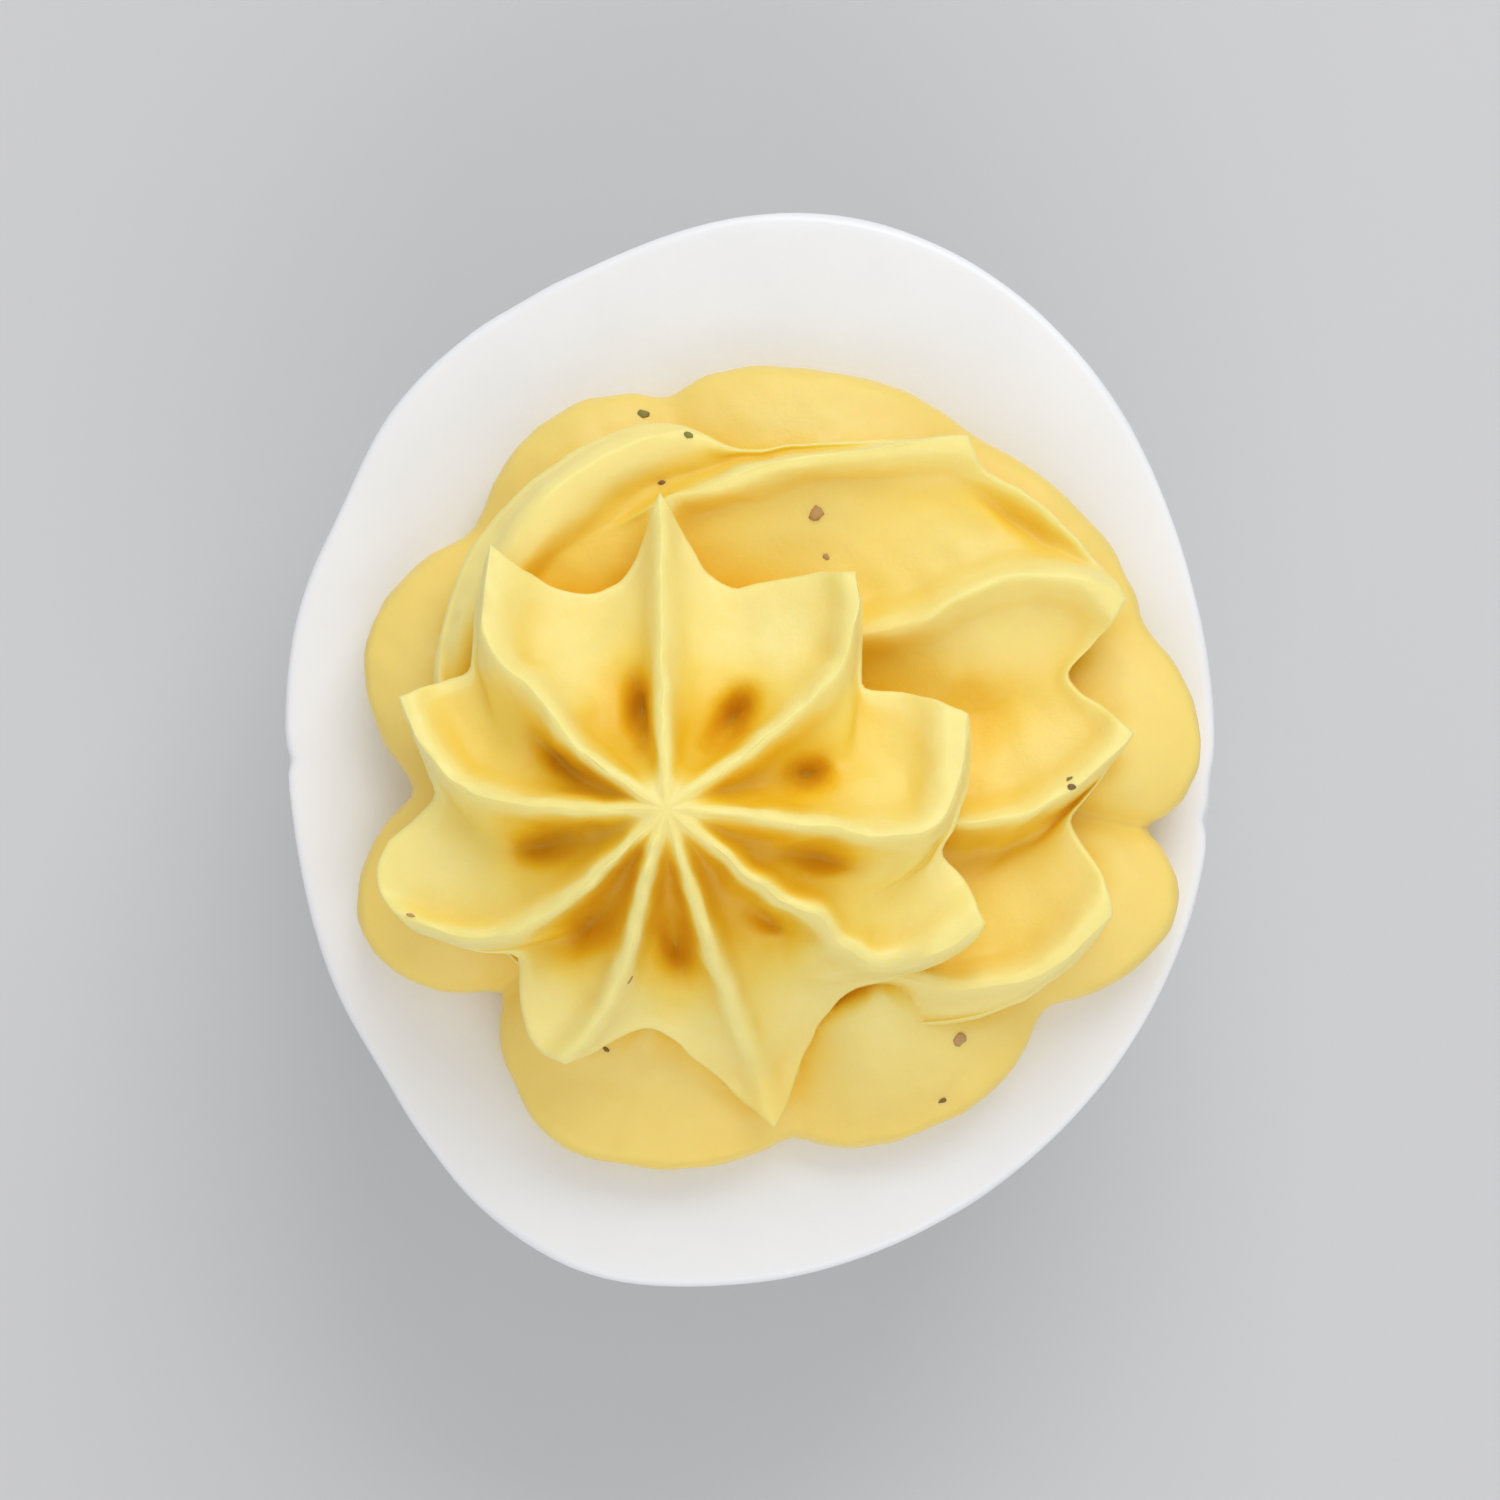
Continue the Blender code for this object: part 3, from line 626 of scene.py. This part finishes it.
def tierRing(tier, rootCentre, step):  # one ring of a star, from fin to fin: (x, y, height, painted highlight and shade)
    look = fillingLook
    crestHeight = flow(tier["crest"], step)
    depth = flow(tier["depth"], step)
    fins = tier["fins"]
    ring = []
    for number, fin in enumerate(fins):
        after = (number + 1) % len(fins)
        azimuth, radius, slant = finAt(tier, rootCentre, number, step)
        azimuthAfter, radiusAfter, slantAfter = finAt(tier, rootCentre, after, step)
        reach, tip = fin["path"][-1]
        reachAfter, tipAfter = fins[after]["path"][-1]
        if after == 0:
            azimuthAfter += 360
            tipAfter += 360
        rim = [(tip, reach), *fin["rim"], (tipAfter, reachAfter)]
        span = math.radians(azimuthAfter - azimuth)
        for column in range(look["columns"]):
            share = 0.5 - 0.5 * math.cos(math.pi * column / look["columns"])  # closer together at the fins
            out = mix(radius, radiusAfter, share)
            tipOut = mix(reach, reachAfter, share)
            side = fin["deepest"] if share < fin["deepest"] else 1 - fin["deepest"]
            toCrest = min(1.0, (share if share < fin["deepest"] else 1 - share) / side)
            across = side * span * out * mix(slant, slantAfter, share)  # from the crest to the deepest line
            fromCrest = toCrest * across
            band = min(look["bandWidth"], 0.25 * across)  # narrower where fins run close together
            past = max(0.0, (fromCrest - band) / (across - band))
            flank = 1 - bell(past * across, look["flankWidth"])
            if tier["form"] == "lobes":
                scooped = lobeForm(toCrest, look["lobeForm"])
                rimOut = mix(tipOut, fin["rim"][0][1], scooped)
                bead = 0.0
            else:
                scooped = mix(cupForm(past, side, look["bowlForm"]), flank, look["flankShare"])
                rimOut = flow(rim, mix(tip, tipAfter, share))
                fromEdge = min(fromCrest, (1 - step) * out)
                thin = min(1.0, step * 5, 10 - step * 10)  # the bead thins out in the middle and at the rim
                bead = look["bead"] * bell(fromEdge, look["beadWidth"]) * thin
                bead *= 1 + look["beadWobble"] * wobble((out, number * 7.7, fromCrest), 0.9, 25)
            angle = math.radians(azimuth) + span * share
            out *= mix(1.0, rimOut / tipOut, step)
            dip = pitDepth(fin, share, span, out, step, flank)
            nick = look["nick"] * scooped * fin["ragged"] * step**10  # close to the rim alone
            out += nick * wobble((out * math.cos(angle), out * math.sin(angle), 0), 0.8, 23)
            x = tier["centre"][0] + out * math.cos(angle)
            y = tier["centre"][1] + out * math.sin(angle)
            height = crestHeight - depth * fin["scoop"] * scooped - dip + bead
            for lumpX, lumpY, spread, rise in tier["lumps"]:
                height += rise * math.exp(-((x - lumpX) ** 2 + (y - lumpY) ** 2) / spread**2)
            height = sagged(x, y, height)
            for direction, spread, rise in tier["mounds"]:
                height += rise * bell(turnFrom(direction, angle), spread) * flow(look["mound"], step)
            ring.append((x, y, height, paintedLightAt(tier, fin, share, span, out, step, fromCrest)))
    return ring


def polar(point, centre):
    across, along = point[0] - centre[0], point[1] - centre[1]
    return math.atan2(along, across), math.hypot(across, along)


def around(centre, angle, radius, height, pale=0.0):
    return (centre[0] + radius * math.cos(angle), centre[1] + radius * math.sin(angle), height, pale)


def clearOf(ring, inner, centre):  # moves a ring's points out to where they clear the ring inside it
    border = sorted(polar(point, centre) for point in inner)
    first, last = border[0], border[-1]
    border = [(last[0] - 2 * math.pi, last[1]), *border, (first[0] + 2 * math.pi, first[1])]
    turns = [turn for turn, radius in border]
    cleared = []
    for point in ring:
        angle, radius = polar(point, centre)
        after = bisect.bisect_right(turns, angle)
        start, end = border[after - 1], border[after]
        least = mix(start[1], end[1], (angle - start[0]) / (end[0] - start[0])) + fillingLook["ringStep"]
        cleared.append(around(centre, angle, max(radius, least), *point[2:]))
    return cleared


def moved(ring, centre, inwards, down):
    lower = []
    for point in ring:
        angle, radius = polar(point, centre)
        lower.append(around(centre, angle, radius - inwards, point[2] - down))
    return lower


def plainRing(centre, radius, height, like):  # round, with its points in the directions of another's
    return [around(centre, polar(point, centre)[0], radius, height) for point in like]


def ringsOfTier(tier, rootCentre):  # all the rings of a star, top to bottom, and the point that closes it
    rings = []
    start = 0.04 if tier["centre"] == rootCentre else 0.0  # the top star's middle is its top point
    for number in range(tier["rings"] + 1):
        ring = tierRing(tier, rootCentre, mix(start, 1.0, number / tier["rings"]))
        rings.append(clearOf(ring, rings[-1], tier["centre"]) if rings else ring)
    rings += [moved(rings[-1], tier["centre"], inwards, down) for inwards, down in tier["lip"]]
    if tier["stem"]:
        radius, height = tier["stem"]
        rings.append(plainRing(tier["centre"], radius, height, like=rings[-1]))
        return rings, (*tier["centre"], height, 0.0)
    foot = moved(rings[-1], tier["centre"], 0.3, 0.0)  # the bottom star goes on down into the white
    rings.append([(x, y, -0.05, 0.0) for x, y, height, pale in foot])
    for radius, deep in fillingLook["plug"]:
        rings.append(plainRing(whiteLook["hollowCentre"], radius, -0.1 - deep, like=foot))
    return rings, (*whiteLook["hollowCentre"], -fillingLook["plugEnd"], 0.0)


def shapeStar(name, tier, rootCentre):
    rings, bottom = ringsOfTier(tier, rootCentre)
    columns = len(rings[0])
    startFresh()
    bpy.ops.mesh.primitive_uv_sphere_add(segments=columns, ring_count=len(rings) + 1, radius=1.0)
    star = bpy.context.object
    star.name = star.data.name = name
    # each point keeps its painted light: a highlight on edges and the peak, gold shade round pits
    marks = star.data.attributes.new("pale", "FLOAT", "POINT")
    for point in star.data.vertices:  # each ring of the sphere becomes a ring of the star
        down = math.acos(max(-1.0, min(1.0, point.co.z))) / math.pi * (len(rings) + 1)
        ring = round(down) - 1
        column = round(math.atan2(point.co.y, point.co.x) / (2 * math.pi) * columns) % columns
        if ring < 0:
            x, y, height, pale = (*rootCentre, tier["top"], 1.0)
        elif ring >= len(rings):
            x, y, height, pale = bottom
        else:
            x, y, height, pale = rings[ring][column]
        marks.data[point.index].value = pale
        point.co = (x * mm, y * mm, cutHeight + height * mm)
    smoother = star.modifiers.new("Smooth paste", "SUBSURF")
    smoother.levels = smoother.render_levels = 1
    smoother.use_limit_surface = False
    applyAll(star)
    return star


def joinStar(filling, star):  # makes one skin of the two
    before = filling.data.copy()
    join = filling.modifiers.new("Join", "BOOLEAN")
    join.operation = "UNION"
    join.solver = "EXACT"
    join.object = star
    applyAll(filling)
    if len(filling.data.vertices) < len(before.vertices):  # the union has lost its way
        print("no union, so the star only stands in the paste")
        filling.data = before
        spare = star.copy()
        spare.data = star.data.copy()
        bpy.context.scene.collection.objects.link(spare)
        useOnly(filling)
        spare.select_set(True)
        bpy.ops.object.join()


def paintedLightOf(stars):  # where each point of the stars is, and its painted highlight and shade
    marked = []
    for star in stars:
        marks = star.data.attributes["pale"].data
        marked += [(point.co.copy(), marks[point.index].value) for point in star.data.vertices]
    return marked


def restorePaintedLight(filling, marked):  # joining muddles the painted highlight and shade, so each point takes that of the nearest one
    nearest = KDTree(len(marked))
    for number, (place, mark) in enumerate(marked):
        nearest.insert(place, number)
    nearest.balance()
    marks = [marked[nearest.find(point.co)[1]][1] for point in filling.data.vertices]
    filling.data.attributes["pale"].data.foreach_set("value", marks)


def shapeFilling():  # the widest star first, then the others, joined to it one by one
    stars = []
    rootCentre = fillingLook["tiers"][0]["centre"]
    for number, tier in enumerate(fillingLook["tiers"]):
        stars.append(shapeStar("star" + str(number + 1), tier, rootCentre))
        rootCentre = tier["centre"]  # the next star's fins rise round this one
    marked = paintedLightOf(stars)
    filling = stars.pop()
    filling.name = filling.data.name = "yolkFilling"
    for star in reversed(stars):
        joinStar(filling, star)
    for star in stars:
        bpy.data.objects.remove(star)
    restorePaintedLight(filling, marked)
    return filling


def push(place, wave, seeds):  # a smooth uneven push, in mm
    height, size = wave
    return Vector([height * wobble(place, size, seed) for seed in seeds])


def roughenFilling(filling):  # paste is never quite even
    for point in filling.data.vertices:
        place = point.co / mm
        if place.z < cutLevel + 0.2:
            continue
        swell = push(place, fillingLook["swell"], (11, 12, 13))
        ruffle = push(place, fillingLook["ruffle"], (14, 15, 16))
        point.co += (swell + ruffle) * mm * min(1.0, (place.z - cutLevel) / 2)


def paintFoldShade(filling):  # how much of the sky each point can't see, kept to paint shade into the colour of folds and pits
    mesh = filling.data
    tree = treeOf(filling)
    rays = []
    for number in range(fillingLook["rays"]):
        lift = (number + 0.5) / fillingLook["rays"]
        turn = number * math.pi * (3 - math.sqrt(5))  # the golden angle spreads them evenly
        flat = math.sqrt(1 - lift * lift)
        rays.append(Vector((flat * math.cos(turn), flat * math.sin(turn), lift)))
    far = fillingLook["sky"] * mm
    hidden = []
    for point in mesh.vertices:
        start = point.co + point.normal * 0.05 * mm
        turnUp = Vector((0, 0, 1)).rotation_difference(point.normal)
        total = 0.0
        for ray in rays:
            away = tree.ray_cast(start, turnUp @ ray, far)[3]
            if away is not None:
                total += 1 - away / far
        hidden.append(total / len(rays))
    for again in range(fillingLook["evenings"]):  # each point takes the mean of itself and its neighbours
        total = list(hidden)
        count = [1] * len(hidden)
        for edge in mesh.edges:
            one, two = edge.vertices
            total[one] += hidden[two]
            total[two] += hidden[one]
            count[one] += 1
            count[two] += 1
        hidden = [part / many for part, many in zip(total, count)]
    mesh.attributes.new("fold", "FLOAT", "POINT").data.foreach_set("value", hidden)


def makeFillingFinish():
    finish = Finish("Whipped yolk")
    fold = finish.node("Attribute", {"attribute_name": "fold"}, output=2)
    pale = finish.node("Attribute", {"attribute_name": "pale"}, output=2)
    patches = finish.grain(3.5, seed=1.0)
    fine = finish.grain(0.35, detail=5.0, seed=3.0)
    depth = (fold * 1.5 - 0.3 - pale * 0.42 + (patches - 0.5) * 0.2).clamped()  # painted shade: deeper gold where the sky is hidden, less where a highlight is painted
    low = (1.6 - (finish.height() - cutHeight) * (0.2 / mm)).clamped()  # painted shade: the bottom star, lower and shaded by those above, is painted a deeper yellow
    # painted light: the ramp runs from the painted highlight on crests through the paste's own yellow to
    # painted gold shade in folds and pits
    tint = finish.node("ValToRGB", {"stops": [
        (0.0, fillingLook["crestHighlightColour"]), (0.3, fillingLook["scoopColour"]),
        (0.62, fillingLook["foldShadeColour"]), (1.0, fillingLook["pitShadeColour"])]}, Fac=depth)
    tint = finish.blend(low * 0.6, tint, (*fillingLook["lowShadeColour"], 1))
    tint = finish.blend((fine * 0.4 - 0.1).clamped(), tint, (*fillingLook["scoopColour"], 1))
    bump = finish.node("Bump", Strength=0.25, Distance=0.12 * mm, Height=fine)
    finish.shade(Base_Color=tint, Roughness=0.36 + fine * 0.16, Normal=bump,
                 Subsurface_Weight=0.4, Subsurface_Scale=1.5 * mm, Subsurface_Radius=(1.0, 0.7, 0.2),
                 Specular_IOR_Level=0.5)
    return finish.material


yolkFilling = shapeFilling()
roughenFilling(yolkFilling)
paintFoldShade(yolkFilling)
finishPiece(yolkFilling, makeFillingFinish())
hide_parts("yolk_filling")
print("filling piped")


# flecks of pepper, herb and spice on the paste, each a small crumpled flake

flecksLook = {  # a spot is mm across, mm along and mm wide; thin is how much of its width it is high
    "pepperFlecks": {
        "thin": 0.4, "colour": colour(142, 112, 62), "seed": 4,
        "spots": [(-4.3, 13.0, 0.35), (9.4, -17.1, 0.45), (15.6, -1.8, 0.45), (-7.0, -14.6, 0.35)],
    },
    "herbFlecks": {
        "thin": 0.3, "colour": colour(152, 144, 62), "seed": 9,
        "spots": [(-5.2, 16.4, 0.6), (-3.0, 15.3, 0.45), (15.5, -1.4, 0.35)],
    },
    "spiceFlecks": {
        "thin": 0.3, "colour": colour(212, 168, 108), "seed": 6,
        "spots": [(3.2, 11.5, 0.8), (3.7, 9.4, 0.35), (10.2, -14.1, 0.8), (-16.4, -8.0, 0.45),
                  (-5.8, -11.1, 0.45)],
    },
}


def modelFleck(name):  # a small round crumb with a flat side
    startFresh()
    bpy.ops.mesh.primitive_ico_sphere_add(subdivisions=2, radius=0.5)
    fleck = bpy.context.object
    fleck.name = name
    bpy.ops.object.mode_set(mode="EDIT")
    bpy.ops.mesh.bisect(plane_co=(0, 0, -0.28), plane_no=(0, 0, 1), use_fill=True, clear_inner=True)
    bpy.ops.object.mode_set(mode="OBJECT")
    return fleck


def scatterFlecks(name, look, surface):
    draw = random.Random(look["seed"])
    model = modelFleck(name + "Model")
    flecks = []
    for x, y, size in look["spots"]:
        ground, upwards = surface.ray_cast(Vector((x * mm, y * mm, 1)), Vector((0, 0, -1)))[:2]
        fleck = model.copy()
        fleck.data = model.data.copy()
        bpy.context.scene.collection.objects.link(fleck)
        for point in fleck.data.vertices:
            point.co *= 1 + 0.5 * noise.noise(point.co * 2.2 + Vector((x, y, 0)))
        fleck.rotation_mode = "QUATERNION"
        fleck.rotation_quaternion = upwards.to_track_quat("Z", "Y")
        fleck.location = ground + upwards * 0.02 * mm
        fleck.scale = (size * mm, size * draw.uniform(0.5, 0.9) * mm, size * look["thin"] * mm)
        flecks.append(fleck)
    bpy.data.objects.remove(model)
    startFresh()
    for fleck in flecks:
        fleck.select_set(True)
    bpy.context.view_layer.objects.active = flecks[0]
    bpy.ops.object.join()
    joined = bpy.context.object
    joined.name = joined.data.name = name
    placeInMesh(joined)
    return joined


def makeFleckFinish(name, look):
    finish = Finish(name)
    fine = finish.grain(0.2, detail=2.0)
    dark = tuple(part * 0.6 for part in look["colour"])
    tint = finish.blend(fine, (*dark, 1), (*look["colour"], 1))
    bump = finish.node("Bump", Strength=0.4, Distance=0.05 * mm, Height=fine)
    finish.shade(Base_Color=tint, Roughness=0.55 + fine * 0.2, Normal=bump)
    return finish.material


surface = treeOf(yolkFilling)
for name, look in flecksLook.items():
    flecks = scatterFlecks(name, look, surface)
    finishPiece(flecks, makeFleckFinish(name, look))
print("flecks scattered")


# pale floor, soft light and a camera straight above

stageLook = {
    "floor": 1.6, "floorColour": (0.62, 0.62, 0.63),
    "sky": (0.98, 0.985, 1.0), "skyStrength": 0.6,
    "lights": [  # name, place, size and power
        ("windowLight", (0.12, 0.45, 0.5), 0.45, 1.85),
        ("fillLight", (0.1, -0.5, 0.5), 0.6, 1.2),
    ],
    "lightTarget": (0, 0, 0.03),
    "cameraHeight": 0.9, "lens": 430,
}


def addSoftLight(name, place, size, power):
    bpy.ops.object.light_add(type="AREA", location=place)
    light = bpy.context.object
    light.name = name
    light.data.size = size
    light.data.energy = power
    aim = Vector(stageLook["lightTarget"]) - light.location
    light.rotation_euler = aim.to_track_quat("-Z", "Y").to_euler()
    light.visible_camera = False


startFresh()
bpy.ops.mesh.primitive_plane_add(size=stageLook["floor"], location=(0, 0, 0))
floor = bpy.context.object
floor.name = "paleFloor"
floorFinish = Finish("Pale floor")
floorFinish.shade(Base_Color=(*stageLook["floorColour"], 1), Roughness=0.7)
floor.data.materials.append(floorFinish.material)

sky = bpy.data.worlds.new("Soft sky")
bpy.context.scene.world = sky
sky.use_nodes = True
sky.node_tree.nodes["Background"].inputs["Color"].default_value = (*stageLook["sky"], 1)
sky.node_tree.nodes["Background"].inputs["Strength"].default_value = stageLook["skyStrength"]
for name, place, size, power in stageLook["lights"]:
    addSoftLight(name, place, size, power)
bpy.context.scene.view_settings.view_transform = "Standard"

bpy.ops.object.camera_add(location=(0, 0, stageLook["cameraHeight"]), rotation=(0, 0, 0))
camera = bpy.context.object
camera.data.lens = stageLook["lens"]
camera.data.sensor_width = 36
bpy.context.scene.camera = camera
print("stage set")
